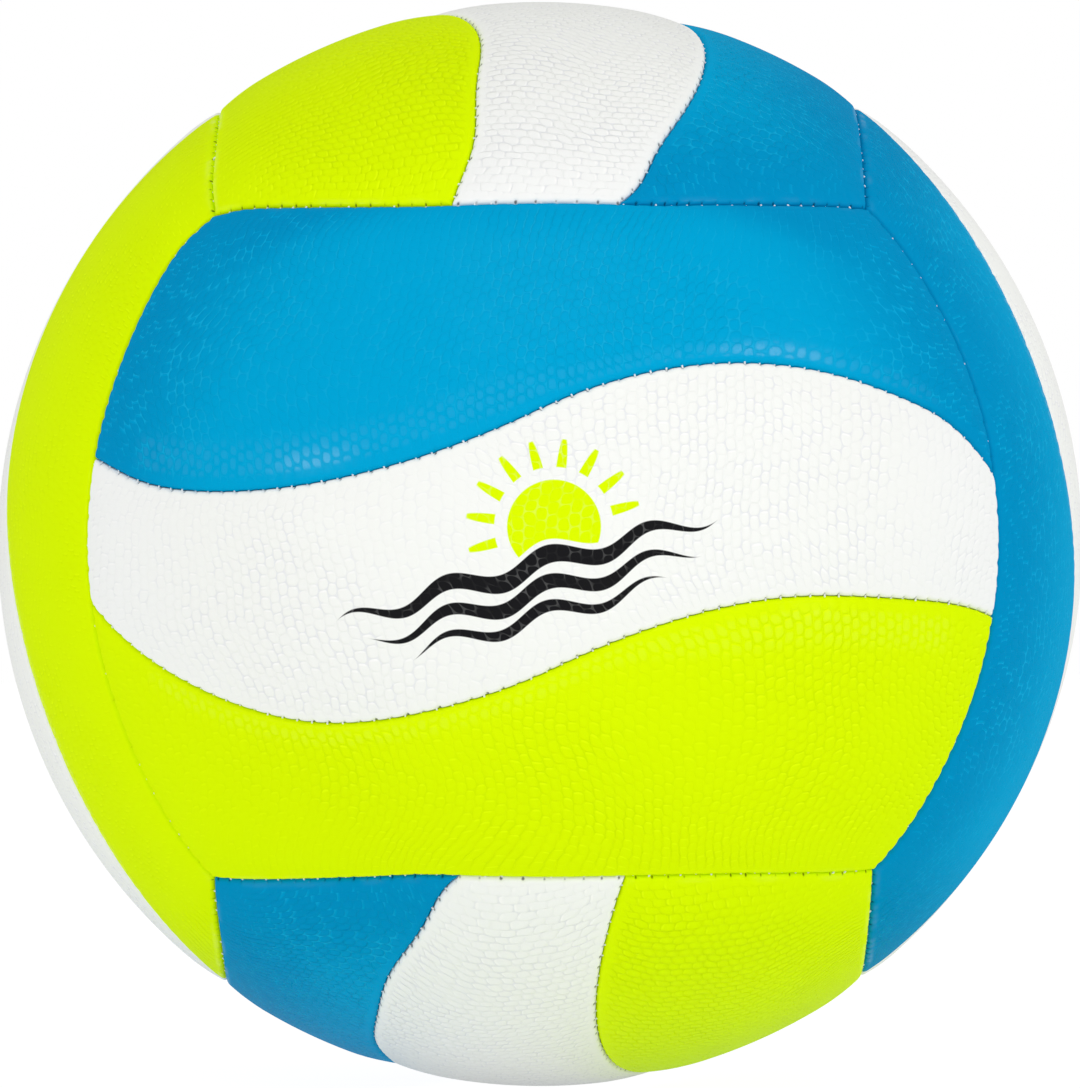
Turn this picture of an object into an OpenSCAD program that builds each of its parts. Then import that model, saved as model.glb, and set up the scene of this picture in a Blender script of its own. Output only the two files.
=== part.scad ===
// A stitched beach volleyball of eighteen panels: six faces of three S-shaped strips.
// Each panel is a skin with turned-in edges, a foam backing and a lining cloth, sewn
// to its neighbours over an inflated bladder with a rubber valve.

/* [Ball] */
// Circumference of the inflated ball
ball_girth = 670; // [600:5:720]
// Height of the valve's face under the cover
valve_sink = 0.6; // [0.3:0.1:1]

/* [Cover panels] */
// Thickness of the panel skin
skin_t = 1; // [0.7:0.1:1.3]
// Thickness of the foam backing
foam_t = 2.4; // [1.6:0.1:3]
// Thickness of the lining cloth
lining_t = 0.4; // [0.2:0.1:0.6]
// Length that a skin's turned-in edge stands past the lining
hem_past = 0.3; // [0.2:0.1:1]
// Depth of the groove over a seam
groove_depth = 2.2; // [1.6:0.1:2.6]
// Width of the rolled shoulder on one side of a seam
shoulder_w = 3.5; // [2.8:0.1:5]
// Radius of the rolled shoulder
shoulder_r = 6; // [5:0.5:9]

/* [Seam layout] */
// Angle at the ball's centre from a face's middle to the middle of its end seam
end_mid_angle = 54; // [53:0.25:56]
// Angle of an S-seam's steepest place above the face's middle line
wave_height_angle = 12.7; // [11:0.1:14]
// Angle of that place along the middle line
wave_shift_angle = -1; // [-4:0.5:4]
// Slope of the S-seam there
wave_slope = 25.9; // [15:0.5:30]
// Radius of the two bends of an S-seam, as an angle at the ball's centre
wave_bend_angle = 48; // [44:1:60]

/* [Seams] */
// Gap between two sewn panels
seam_gap = 0.2; // [0.1:0.05:0.5]
// Diameter of the sewing thread
thread_d = 0.8; // [0.5:0.1:1]
// Distance that a thread stops short of a corner
thread_stop = 2; // [1.5:0.5:4]

/* [Bladder and valve] */
// Wall of the bladder
bladder_t = 0.8; // [0.5:0.1:1.2]
// Room between the skins' edges and the bladder
bladder_clear = 0.3; // [0.2:0.1:0.6]
// Diameter of the valve boot's neck
neck_d = 9; // [8:0.5:11]
// Diameter of the boot's flange inside the bladder
flange_d = 26; // [20:1:34]
// Thickness of that flange
flange_t = 1.6; // [1:0.1:2.4]
// Length of the valve plug in the boot
plug_len = 16; // [14:0.5:20]
// Diameter of the valve plug
plug_d = 5.4; // [5:0.1:6]
// Diameter of the plug's head
head_d = 7; // [6.6:0.1:7.5]
// Thickness of the plug's head
head_t = 1.4; // [1:0.1:2]
// Diameter of the needle passage
needle_d = 2.2; // [2:0.1:2.4]
// Thickness of the closed lips at the end of the passage
lips_t = 2; // [1.5:0.5:3]
// Diameter of the patch round the valve
patch_d = 30; // [22:1:40]
// Thickness of the patch
patch_t = 0.4; // [0.2:0.1:0.5]

/* [Hidden] */
$fn = 180;
FACES = ["front", "back", "left", "right", "top", "bottom"];
STRIPS = ["blue", "white", "green"];
LAYERS = ["skin", "foam", "lining"];
function panel_name(layer, face, strip) = str(layer, "_", face, "_", strip);

// Each face lies in its own frame: x along the strips, y across them, z out of the ball.
function face_turn(face) =
    face == "front" ? [90, 0, 0] :
    face == "back" ? [-90, 0, 0] :
    face == "left" ? [0, -90, 0] :
    face == "right" ? [180, -90, 0] :
    face == "top" ? [0, 0, -90] : [180, 0, -90];
function strip_colour(strip) =
    strip == "blue" ? "#00a0cd" : strip == "green" ? "#d6f000" : "#f4f4f1";
VALVE_FACE = "back";
VALVE_STRIP = "white";

// Clearance left in each bonded joint, and what a cut runs past its piece
glue = 0.05;
over = 3;

ball_r = ball_girth / (2 * PI);
foam_r = ball_r - skin_t - glue;
lining_r = foam_r - foam_t - glue;
hem_r = lining_r - lining_t - hem_past;
bladder_r = hem_r - bladder_clear;

// A face's end seam is a circle on the ball whose axis leans from the face's middle, so
// that it meets its neighbours at the corners of a cube and bows out to end_mid_angle.
corner_share = 1 / sqrt(3);
end_lean = atan((cos(end_mid_angle) - corner_share) / (sin(end_mid_angle) - corner_share));
end_angle = acos(corner_share * (cos(end_lean) - sin(end_lean)));
end_sweep = atan(1 / (cos(end_lean) + sin(end_lean)));

// The rolled shoulder is an arc from the ball's surface down to the seam's wall.
chord = sqrt(shoulder_w * shoulder_w + groove_depth * groove_depth);
shoulder_slope = atan(groove_depth / shoulder_w) + asin(chord / (2 * shoulder_r));
roll_x = -seam_gap / 2 - shoulder_r * sin(shoulder_slope);
roll_y = ball_r - groove_depth - shoulder_r * cos(shoulder_slope);

// The thread lies in the groove, just clear of both shoulders.
thread_ride = shoulder_r + thread_d / 2 + glue;
thread_y = roll_y + sqrt(thread_ride * thread_ride - roll_x * roll_x);

// Axis of an end seam's circle, seen from the axis of the bend that meets it. Bend 1 is
// the crest of an S-seam and -1 is its trough.
function turn_x(v, a) = [v[0], v[1] * cos(a) - v[2] * sin(a), v[1] * sin(a) + v[2] * cos(a)];
function turn_y(v, a) = [v[0] * cos(a) + v[2] * sin(a), v[1], v[2] * cos(a) - v[0] * sin(a)];
function turn_z(v, a) = [v[0] * cos(a) - v[1] * sin(a), v[0] * sin(a) + v[1] * cos(a), v[2]];
function end_axis(bend) =
    turn_x(
        turn_z(
            turn_x(turn_y([-bend * sin(end_lean), 0, cos(end_lean)], -wave_shift_angle), wave_height_angle),
            -wave_slope),
        -bend * wave_bend_angle);

// Angle round a bend from the S-seam's steepest place to the end seam
function bend_reach(bend) =
    let (axis = end_axis(bend))
        bend * 90 - atan2(axis[1], axis[0])
            + acos((cos(end_angle) - cos(wave_bend_angle) * axis[2])
                / (sin(wave_bend_angle) * sin(acos(axis[2]))));

// Blanks and cutters reach past a panel by these shares of the ball's radius or angles.
cutter_share = 0.45;
cutter_foot_share = 0.8;
cutter_top_share = 1.1;
blank_sweep = 120;
cutter_sweep = 120;
bend_sweep = 100;
bend_start = -10;
bend_lap = 3;
white_low_angle = -24;
white_high_angle = 24;
outer_low_angle = 2;
outer_high_angle = 42;

// Section of a seam cutter: the seam lies at x = 0 and the panel at x < 0.
module seam_section(inset) {
    wall = -seam_gap / 2 - inset;
    translate([wall, cutter_foot_share * ball_r])
        square([cutter_share * ball_r, (cutter_top_share - cutter_foot_share) * ball_r]);
    difference() {
        translate([roll_x, roll_y]) square([wall - roll_x + over, ball_r - roll_y + over]);
        translate([roll_x, roll_y]) circle(r = shoulder_r - inset);
    }
}

// Cutter for a panel that lies inside a seam circle
module cut_outside(angle, inset, sweep) {
    rotate_extrude(angle = sweep) rotate(-angle) seam_section(inset);
}

// Cutter for a panel that lies outside a seam circle
module cut_inside(angle, inset, sweep) {
    rotate_extrude(angle = sweep) rotate(-angle) mirror([1, 0]) seam_section(inset);
}

// Cutter for the end of a face, at side 1 or -1
module end_cut(side, inset) {
    rotate([0, -side * end_lean, 0])
        rotate([0, 0, 90 - side * 90 - cutter_sweep / 2])
            cut_outside(end_angle, inset, cutter_sweep);
}

// Cutter for the long side of a face, which is the end of its neighbour
module side_cut(side, inset) {
    rotate([-side * (90 + end_lean), 0, 0])
        rotate([0, 0, -side * 90 - cutter_sweep / 2])
            cut_inside(end_angle, inset, cutter_sweep);
}

// Frame at the steepest place of an S-seam, with x along the seam
module at_wave(side) {
    rotate([0, 0, 90 - side * 90])
        rotate([0, wave_shift_angle, 0])
            rotate([-wave_height_angle, 0, 0])
                rotate([0, 0, wave_slope])
                    children();
}

// Cutters for the two bends of an S-seam, for a panel on its inner or outer side
module crest_cut(side, inset, inner) {
    at_wave(side) rotate([wave_bend_angle, 0, 0]) rotate([0, 0, bend_start])
        if (inner) cut_outside(wave_bend_angle, inset, bend_sweep);
        else cut_inside(wave_bend_angle, inset, bend_sweep);
}
module trough_cut(side, inset, inner) {
    at_wave(side) rotate([-wave_bend_angle, 0, 0]) rotate([0, 0, 180 + bend_start])
        if (inner) cut_inside(wave_bend_angle, inset, bend_sweep);
        else cut_outside(wave_bend_angle, inset, bend_sweep);
}

// The bends' cutters only meet at the steepest place, so this one overlaps both of them
// there, clear of the panel.
module lap_cut(side, inset, inner) {
    bend = inner ? -1 : 1;
    at_wave(side)
        rotate([bend * wave_bend_angle, 0, 0])
            rotate([0, 0, bend * 90 - bend_lap])
                cut_inside(wave_bend_angle, inset - glue, 2 * bend_lap);
}

// Piece of spherical shell between two latitudes of a face
module blank(r_in, r_out, low, high) {
    far = 2 * ball_r;
    rotate([-90, -90, 0]) rotate([0, 0, -blank_sweep / 2])
        rotate_extrude(angle = blank_sweep)
            intersection() {
                difference() {
                    circle(r = r_out);
                    circle(r = r_in);
                }
                polygon([[0, 0], far * [cos(low), sin(low)], far * [cos(high), sin(high)]]);
            }
}

// What an S-seam's cutters leave of a strip
module wave_trimmed(side, inset, inner) {
    difference() {
        difference() {
            difference() {
                children();
                crest_cut(side, inset, inner);
            }
            trough_cut(side, inset, inner);
        }
        lap_cut(side, inset, inner);
    }
}

module white_strip(inset, r_in, r_out) {
    difference() {
        difference() {
            wave_trimmed(-1, inset, true)
                wave_trimmed(1, inset, true)
                    blank(r_in, r_out, white_low_angle, white_high_angle);
            end_cut(1, inset);
        }
        end_cut(-1, inset);
    }
}

module outer_strip(inset, r_in, r_out) {
    difference() {
        difference() {
            difference() {
                wave_trimmed(1, inset, false)
                    blank(r_in, r_out, outer_low_angle, outer_high_angle);
                side_cut(1, inset);
            }
            end_cut(1, inset);
        }
        end_cut(-1, inset);
    }
}

// One layer of a panel: inset from the panel's outer shape, between two radii
module strip_solid(strip, inset, r_in, r_out) {
    if (strip == "white") white_strip(inset, r_in, r_out);
    else rotate([0, 0, strip == "blue" ? 0 : 180]) outer_strip(inset, r_in, r_out);
}

// Hole for the valve's neck, on the one panel that has the valve
module valve_hole(face, strip) {
    difference() {
        children();
        if (face == VALVE_FACE && strip == VALVE_STRIP)
            cylinder(d = neck_d + 2 * glue, h = ball_r + over);
    }
}

module skin(face, strip) {
    color(strip_colour(strip))
        valve_hole(face, strip)
            difference() {
                strip_solid(strip, 0, hem_r, ball_r);
                strip_solid(strip, skin_t, hem_r - over, ball_r - skin_t);
            }
}

module foam(face, strip) {
    color("#e9e4d6")
        valve_hole(face, strip)
            strip_solid(strip, skin_t + glue, foam_r - foam_t, foam_r);
}

module lining(face, strip) {
    color("#d8d8d2")
        valve_hole(face, strip)
            strip_solid(strip, skin_t + glue, lining_r - lining_t, lining_r);
}

module panel_layer(layer, face, strip) {
    rotate(face_turn(face))
        if (layer == "skin") skin(face, strip);
        else if (layer == "foam") foam(face, strip);
        else lining(face, strip);
}

// Thread over part of a seam circle
module thread(angle, sweep) {
    rotate_extrude(angle = sweep) rotate(-angle) translate([0, thread_y]) circle(d = thread_d, $fn = 32);
}

// The twelve seams between faces are the two ends of each face.
module face_seam_thread() {
    stop = thread_stop / thread_y / sin(end_angle) * 180 / PI;
    color("#20242a")
        for (face = FACES, side = [-1, 1])
            rotate(face_turn(face))
                rotate([0, -side * end_lean, 0])
                    rotate([0, 0, 90 - side * 90 - end_sweep + stop])
                        thread(end_angle, 2 * (end_sweep - stop));
}

// Each face has two S-seams of two bends.
module s_seam_thread() {
    stop = thread_stop / thread_y / sin(wave_bend_angle) * 180 / PI;
    color("#20242a")
        for (face = FACES, side = [-1, 1], bend = [-1, 1])
            rotate(face_turn(face))
                at_wave(side)
                    rotate([bend * wave_bend_angle, 0, 0])
                        rotate([0, 0, bend * 90 - bend_reach(bend) + stop])
                            thread(wave_bend_angle, bend_reach(bend) - stop);
}

module bladder() {
    color("#2b2b2e")
        difference() {
            sphere(r = bladder_r);
            sphere(r = bladder_r - bladder_t);
            rotate(face_turn(VALVE_FACE)) cylinder(d = neck_d + 2 * glue, h = ball_r);
        }
}

// Neck of the boot through the cover, and its flange bonded inside the bladder
module valve_boot() {
    wall_r = bladder_r - bladder_t - glue;
    face_z = ball_r - valve_sink;
    color("#3a3a3d")
        rotate(face_turn(VALVE_FACE))
            difference() {
                union() {
                    translate([0, 0, face_z - plug_len]) cylinder(d = neck_d, h = plug_len);
                    intersection() {
                        difference() {
                            sphere(r = wall_r);
                            sphere(r = wall_r - flange_t);
                        }
                        cylinder(d = flange_d, h = ball_r);
                    }
                }
                translate([0, 0, face_z - plug_len - over])
                    cylinder(d = plug_d + 2 * glue, h = plug_len + 2 * over);
                translate([0, 0, face_z - head_t - glue])
                    cylinder(d = head_d + 2 * glue, h = head_t + over);
            }
}

// Plug with a head, and a needle passage that ends in closed lips
module valve_plug() {
    face_z = ball_r - valve_sink;
    color("#17171a")
        rotate(face_turn(VALVE_FACE))
            difference() {
                union() {
                    translate([0, 0, face_z - plug_len]) cylinder(d = plug_d, h = plug_len - head_t / 2);
                    translate([0, 0, face_z - head_t]) cylinder(d = head_d, h = head_t);
                }
                translate([0, 0, face_z - plug_len + lips_t]) cylinder(d = needle_d, h = plug_len);
            }
}

// Ring of cloth between the lining and the bladder, round the neck
module valve_patch() {
    patch_r = lining_r - lining_t - glue;
    color("#c8c6bd")
        rotate(face_turn(VALVE_FACE))
            intersection() {
                difference() {
                    sphere(r = patch_r);
                    sphere(r = patch_r - patch_t);
                }
                difference() {
                    cylinder(d = patch_d, h = ball_r);
                    cylinder(d = neck_d + 2 * glue, h = ball_r);
                }
            }
}

for (layer = LAYERS, face = FACES, strip = STRIPS)
    panel_layer(layer, face, strip);
face_seam_thread();
s_seam_thread();
bladder();
valve_boot();
valve_plug();
valve_patch();
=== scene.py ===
import math

import bmesh
import bpy
import numpy as np
from mathutils import Matrix, Vector


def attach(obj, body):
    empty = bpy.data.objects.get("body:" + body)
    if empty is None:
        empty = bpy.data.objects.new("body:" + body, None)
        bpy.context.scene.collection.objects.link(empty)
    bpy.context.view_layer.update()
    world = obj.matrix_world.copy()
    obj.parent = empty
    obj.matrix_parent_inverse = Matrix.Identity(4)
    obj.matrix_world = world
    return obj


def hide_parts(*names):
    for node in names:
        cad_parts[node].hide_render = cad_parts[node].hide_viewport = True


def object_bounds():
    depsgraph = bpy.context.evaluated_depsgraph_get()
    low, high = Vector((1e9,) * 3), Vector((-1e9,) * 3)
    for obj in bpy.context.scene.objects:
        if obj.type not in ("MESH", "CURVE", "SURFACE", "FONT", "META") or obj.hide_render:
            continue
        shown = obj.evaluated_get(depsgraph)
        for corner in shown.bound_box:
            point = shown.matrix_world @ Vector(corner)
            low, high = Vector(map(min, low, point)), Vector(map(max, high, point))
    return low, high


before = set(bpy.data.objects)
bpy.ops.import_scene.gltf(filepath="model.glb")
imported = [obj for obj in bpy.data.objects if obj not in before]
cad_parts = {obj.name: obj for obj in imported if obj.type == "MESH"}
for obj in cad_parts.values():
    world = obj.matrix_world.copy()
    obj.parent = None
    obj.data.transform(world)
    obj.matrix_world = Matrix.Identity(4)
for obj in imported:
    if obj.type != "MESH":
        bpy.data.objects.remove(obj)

cad_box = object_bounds()
MM = 0.001

# Cover pattern
# The cover is six faces of three S-shaped strips. All the seams are arcs of circles on the
# ball, so that every face is cut to the same pattern: two ends, two long sides that are the
# ends of the neighbouring faces, and two S-seams of two bends each.

# The seams' angles on the ball, in degrees. All lengths are in mm, here and below.
END_MIDDLE = 54
WAVE_HEIGHT = 12.7
WAVE_SHIFT = -1
WAVE_SLOPE = 25.9
WAVE_BEND = 48
SEAM_GAP = 0.12
STITCH_PITCH = 3.1
# How far a seam bows to and fro between its stitches, and the width of a stitch's notch
LIP = 0.12
NOTCH_WIDTH = 0.5
END_BOW = 0.5

ball_r = (cad_box[1].z - cad_box[0].z) / 2 / MM

# A face's own axes on the ball: along its strips, across them, and outwards.
FACES = {
    "front": ((1, 0, 0), (0, 0, 1), (0, -1, 0)),
    "back": ((1, 0, 0), (0, 0, -1), (0, 1, 0)),
    "left": ((0, 0, 1), (0, 1, 0), (-1, 0, 0)),
    "right": ((0, 0, 1), (0, -1, 0), (1, 0, 0)),
    "top": ((0, -1, 0), (1, 0, 0), (0, 0, 1)),
    "bottom": ((0, -1, 0), (-1, 0, 0), (0, 0, -1)),
}


def face_turn(face):
    return np.array(FACES[face], float).T


def turn(axis, degrees):
    return np.array(Matrix.Rotation(math.radians(degrees), 3, axis))


def unit(vectors):
    return vectors / np.linalg.norm(vectors, axis=-1, keepdims=True)


class Arc:
    """A seam's circle on the ball, with the panel inside it (1) or outside it (-1). Between
    two stitches the seam bows out of the circle, or into it where bow is below 0."""

    def __init__(self, axis, angle, inside, middle, bow=1):
        self.axis = axis
        self.angle = angle
        self.inside = inside
        self.bow = bow
        self.out = unit(middle - axis * (middle @ axis))
        self.onward = np.cross(axis, self.out)

    def bowed_angle(self, azimuth):
        off = (self.length(azimuth) / STITCH_PITCH % 1 - 0.5) * STITCH_PITCH
        return self.angle + self.bow * LIP / ball_r * (0.5 - np.exp(-((off / NOTCH_WIDTH) ** 2)))

    def distance(self, p):
        """How far p lies from the seam, in mm, positive on the panel's side."""
        off = self.bowed_angle(self.azimuth(p)) - np.arccos(np.clip(p @ self.axis, -1, 1))
        return self.inside * off * ball_r

    def azimuth(self, p):
        return np.arctan2(p @ self.onward, p @ self.out)

    def point(self, azimuth, inset=0.0):
        azimuth = np.asarray(azimuth)[..., None]
        angle = self.bowed_angle(azimuth) - self.inside * inset / ball_r
        ring = np.cos(azimuth) * self.out + np.sin(azimuth) * self.onward
        return np.cos(angle) * self.axis + np.sin(angle) * ring

    def length(self, azimuth):
        return azimuth * math.sin(self.angle) * ball_r


class Edge:
    """One edge of a panel: one arc, or the two bends of an S-seam that meet at a plane."""

    def __init__(self, *arcs, plane=None):
        self.arcs = arcs
        self.plane = plane

    def arc_of(self, p):
        if self.plane is None:
            return np.zeros(p.shape[:-1], int)
        return (p @ self.plane > 0).astype(int)

    def distance(self, p):
        which = self.arc_of(p)
        return sum(arc.distance(p) * (which == i) for i, arc in enumerate(self.arcs))

    def points(self, start, end, share, inset):
        """Points on the edge at shares of the way from corner start to corner end."""
        if len(self.arcs) == 1:
            (arc,) = self.arcs
            low, high = arc.azimuth(start), arc.azimuth(end)
            return arc.point(low + (high - low) * share, inset)
        first, last = self.arcs
        low, high = first.azimuth(start), last.azimuth(end)
        bend = abs(first.length(low)) / (abs(first.length(low)) + abs(last.length(high)))
        before = first.point(low * np.clip(1 - share / bend, 0, 1), inset)
        after = last.point(high * np.clip((share - bend) / (1 - bend), 0, 1), inset)
        return np.where((share < bend)[..., None], before, after)


def corner(a, b, inset, near):
    """Where the circles of two arcs cross, on the side of near, both held in by inset."""
    cos_a = math.cos(a.angle - a.inside * inset / ball_r)
    cos_b = math.cos(b.angle - b.inside * inset / ball_r)
    c = a.axis @ b.axis
    share_a = (cos_a - c * cos_b) / (1 - c * c)
    share_b = (cos_b - c * cos_a) / (1 - c * c)
    flat = share_a * a.axis + share_b * b.axis
    off = np.cross(a.axis, b.axis) * math.sqrt((1 - flat @ flat) / (1 - c * c))
    return max(flat + off, flat - off, key=lambda p: p @ np.array(near))


# The ends of the faces meet at the corners of a cube, and bow out to END_MIDDLE between them.
corner_share = 1 / math.sqrt(3)
end_lean = math.atan((math.cos(math.radians(END_MIDDLE)) - corner_share)
                     / (math.sin(math.radians(END_MIDDLE)) - corner_share))
end_angle = math.acos(corner_share * (math.cos(end_lean) - math.sin(end_lean)))
wave_angle = math.radians(WAVE_BEND)


def end_arc(side):
    """The end of a face at side 1 or -1."""
    axis = np.array((-side * math.sin(end_lean), 0, math.cos(end_lean)))
    return Arc(axis, end_angle, 1, np.array((side, 0.0, 0.0)), END_BOW)


def long_arc():
    """The long side of an outer strip, which is the end of the neighbouring face."""
    axis = np.array((0, math.cos(end_lean), -math.sin(end_lean)))
    return Arc(axis, end_angle, -1, np.array((0.0, 0.0, 1.0)), END_BOW)


def half_turn(side):
    """Turns a face half round for its side -1, and not for its side 1."""
    return turn("Z", 90 - 90 * side)


def wave(side, inner):
    """An S-seam, for the panel on its inner side (the white strip) or its outer side."""
    place = half_turn(side) @ turn("Y", WAVE_SHIFT) @ turn("X", -WAVE_HEIGHT)
    place = place @ turn("Z", WAVE_SLOPE)
    steepest = place @ np.array((0.0, 0.0, 1.0))
    crest_axis = place @ np.array((0, -math.sin(wave_angle), math.cos(wave_angle)))
    trough_axis = place @ np.array((0, math.sin(wave_angle), math.cos(wave_angle)))
    crest = Arc(crest_axis, wave_angle, 1 if inner else -1, steepest)
    trough = Arc(trough_axis, wave_angle, -1 if inner else 1, steepest, bow=-1)
    plane = side * (place @ np.array((1.0, 0.0, 0.0)))
    return Edge(*((trough, crest) if side == 1 else (crest, trough)), plane=plane)


class Panel:
    """A panel's edges in the order bottom, right, top, left, and the mesh between them. low_y
    and high_y are rough heights of its corners, which tell them from the circles' other
    crossings."""

    def __init__(self, bottom, top, low_y, high_y):
        left, right = Edge(end_arc(-1)), Edge(end_arc(1))
        self.edges = (bottom, right, top, left)
        self.corners = tuple(
            corner(arc, end.arcs[0], SEAM_GAP / 2, (x, y, 0.6))
            for arc, end, x, y in (
                (bottom.arcs[0], left, -0.8, low_y), (bottom.arcs[-1], right, 0.8, low_y),
                (top.arcs[-1], right, 0.8, high_y), (top.arcs[0], left, -0.8, high_y)))

    def along(self, u):
        """Points on the bottom and top edges at share u from the left."""
        low_left, low_right, high_right, high_left = self.corners
        bottom, _, top, _ = self.edges
        return (bottom.points(low_left, low_right, u, SEAM_GAP / 2),
                top.points(high_left, high_right, u, SEAM_GAP / 2))

    def across(self, v):
        """Points on the left and right edges at share v from the bottom."""
        low_left, low_right, high_right, high_left = self.corners
        _, right, _, left = self.edges
        return (left.points(low_left, high_left, v, SEAM_GAP / 2),
                right.points(low_right, high_right, v, SEAM_GAP / 2))

    def point(self, u, v):
        """Directions of the patch that spans the four edges."""
        bottom, top = self.along(u)
        left, right = self.across(v)
        low_left, low_right, high_right, high_left = self.corners
        u, v = u[..., None], v[..., None]
        flat = (1 - v) * bottom + v * top + (1 - u) * left + u * right
        flat -= (1 - u) * (1 - v) * low_left + u * (1 - v) * low_right
        flat -= u * v * high_right + (1 - u) * v * high_left
        return unit(flat)

    def inset(self, depth, u, v):
        """Like point, on the part of the patch that lies depth mm inside the edges."""
        bottom, top = self.along(u)
        left, right = self.across(v)
        width = np.arccos(np.clip((bottom * top).sum(-1), -1, 1)) * ball_r
        length = np.arccos(np.clip((left * right).sum(-1), -1, 1)) * ball_r
        du, dv = depth / length, depth / width
        return self.point(du + u * (1 - 2 * du), dv + v * (1 - 2 * dv))


outer_strip = Panel(wave(1, False), Edge(long_arc()), 0.1, 0.7)
PANELS = {
    "white": (Panel(wave(-1, True), wave(1, True), -0.1, 0.1), half_turn(1)),
    "blue": (outer_strip, half_turn(1)),
    "green": (outer_strip, half_turn(-1)),
}

# A sewn ball isn't quite even. At these places its cover lies off the pattern: the place, the
# way along the surface that it is pulled, how far, and how widely.
PULLS = (
    ((-1, -1, 1), (-1, 2.2, 1.2), 3.6, 24),
    ((1, -1, 1), (0.3, 1.2, 0.9), 2.0, 24),
    ((-1, -1, -1), (-1.5, 3.4, -1.9), 4.2, 24),
    ((1, -1, -1), (0.6, 1.8, -1.2), 2.5, 24),
    ((-0.13, -0.58, 0.8), (-1, 0, 0), 2.8, 18),
    ((-0.25, -0.61, -0.75), (-1, 0.4, 0), 2.2, 18),
    ((-0.79, -0.59, 0.15), (0.1, 0, 1), 1.7, 13),
    ((-0.39, -0.86, -0.33), (0, 0.4, -1), 1.4, 20),
    ((-0.15, -0.79, 0.6), (-1, 0, 0), 2.2, 12),
    ((0.14, -0.79, 0.6), (1, 0, 0), 3.4, 11.5),
    ((-0.13, -0.8, -0.59), (-1, 0, 0), 5.2, 14),
    ((-0.29, -0.3, -0.91), (-1, 0, 0), 1.0, 13),
    ((-0.25, -0.05, -0.96), (-1, 0, 0), 2.4, 10),
    ((0.74, -0.64, 0.21), (0, 0, 1), 2.2, 15),
    ((0.6, -0.79, -0.1), (0, 0, -1), 1.7, 22),
    # The blue panel's corner, whose cut is rounder than its neighbours'
    ((-1, -1, 1), (1, -2, -1), 2.2, 6),
)


def pulled(directions):
    moved = directions.copy()
    for place, way, far, reach in PULLS:
        place, way = unit(np.array(place, float)), unit(np.array(way, float))
        off = np.arccos(np.clip(directions @ place, -1, 1)) * ball_r
        moved += np.exp(-((off / reach) ** 2))[:, None] * way * far / ball_r
    return unit(moved)


# Leather finish
# The sheet is embossed with a snake grain: staggered columns of rounded scales about 2 mm
# across that sway over the sheet, and flatten out where the skin is pulled into a seam. The
# colour is in the PVC itself, with a satin top coat.
SCALE_W, SCALE_H = 2.05, 2.35
# How far the columns sway sideways and the rows up and down, and over what length
COLUMN_SWAY, COLUMN_SWAY_LENGTH = 36.0, 45.0
ROW_SWAY, ROW_SWAY_LENGTH = 28.0, 50.0
SWAY_ACROSS = 0.35
# How far a scale's outline wobbles, and by what shares of a row the columns are staggered
WOBBLE = 1.1
STAGGER, STAGGER_SPREAD = 0.5, 0.2
# A scale is a rounded box. Shares of its half width at which its dome ends, and the crease
# round it and the painted highlight (on the blue, painted shade) on its upper rim start
ROUNDING = 2.8
DOME, CREASE, PAINTED_RIM = (0.55, 1.05), (0.85, 1.02), (0.5, 0.8)
DOME_H, DOME_H_SPREAD, CREASE_H = 0.055, 0.015, 0.06
SCALE_TILT = 0.07
PORE_H, RIPPLE_H = 0.015, 0.14
# Scales of the noises, per metre, and between which values three of them come up
WOBBLES, PATCHES, GAPS, GLINTS, RIPPLES, PORES = 300, 24, 330, 160, 110, 1900
BETWEEN_PATCHES, BETWEEN_GAPS, BETWEEN_GLINTS = (0.38, 0.6), (0.4, 0.64), (0.42, 0.6)
FLAT_RELIEF, GAP_LEAST = 0.4, 0.1
# Distances from a seam over which the grain comes up, the stretch of the scales ends, and a
# face's end has its painted shade, a deeper colour
GRAIN_COMES, STRETCH_ENDS, PAINTED_END_SHADE = (0.7, 2.8), (3, 18), (4, 38)
STRETCH = 0.22
# The top and bottom faces' skins come from a more deeply embossed sheet than the others.
DEEP_FACES, DEEPER, DEEP_PATCHES = (60 * MM, 78 * MM), 0.9, 0.7
# The front, whose long sides hardly have the painted end shade, and how much further off they seem
FRONT_FACE, FRONT_FURTHER = (72 * MM, 86 * MM), 26
THIN_COAT, COAT_ROUGHNESS = 0.03, 0.2
# Distances from an S-seam over which its band of gloss comes up and ends, and how much
# further off they are where the stretch reaches far in
BAND_COMES, BAND_COMES_FURTHER = (0.8, 1.6), (1.4, 1.6)
BAND_ENDS, BAND_ENDS_FURTHER = (2.6, 5), (4.4, 5.5)
BAND_FROM_FACE_EDGE, FLAT_TOP = (12, 18), (0.6, 0.85)
FRONT_SHEET_END, FAR_REACH_RISE = (120, 150), 30
# The gloss on the rolled edges of the top and bottom faces, and on the worn underside
ROLL_COMES, ROLL_ENDS, ROLL_FROM_FACE_EDGE = (0.3, 0.6), (1.0, 1.8), (2, 4)
ROLL_FACES, ROLL_GLOSS = (60.5 * MM, 63.5 * MM), 0.9
UNDERSIDE, UNDER_GLOSS, UNDER_CREASE = (68 * MM, 98 * MM), 0.3, 0.7
# Where the painted shade in a stitch hole comes up, and how dark it is
PAINTED_HOLE_SHADE, PAINTED_HOLE_DARKNESS = (0.2, 0.7), 0.8


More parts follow.
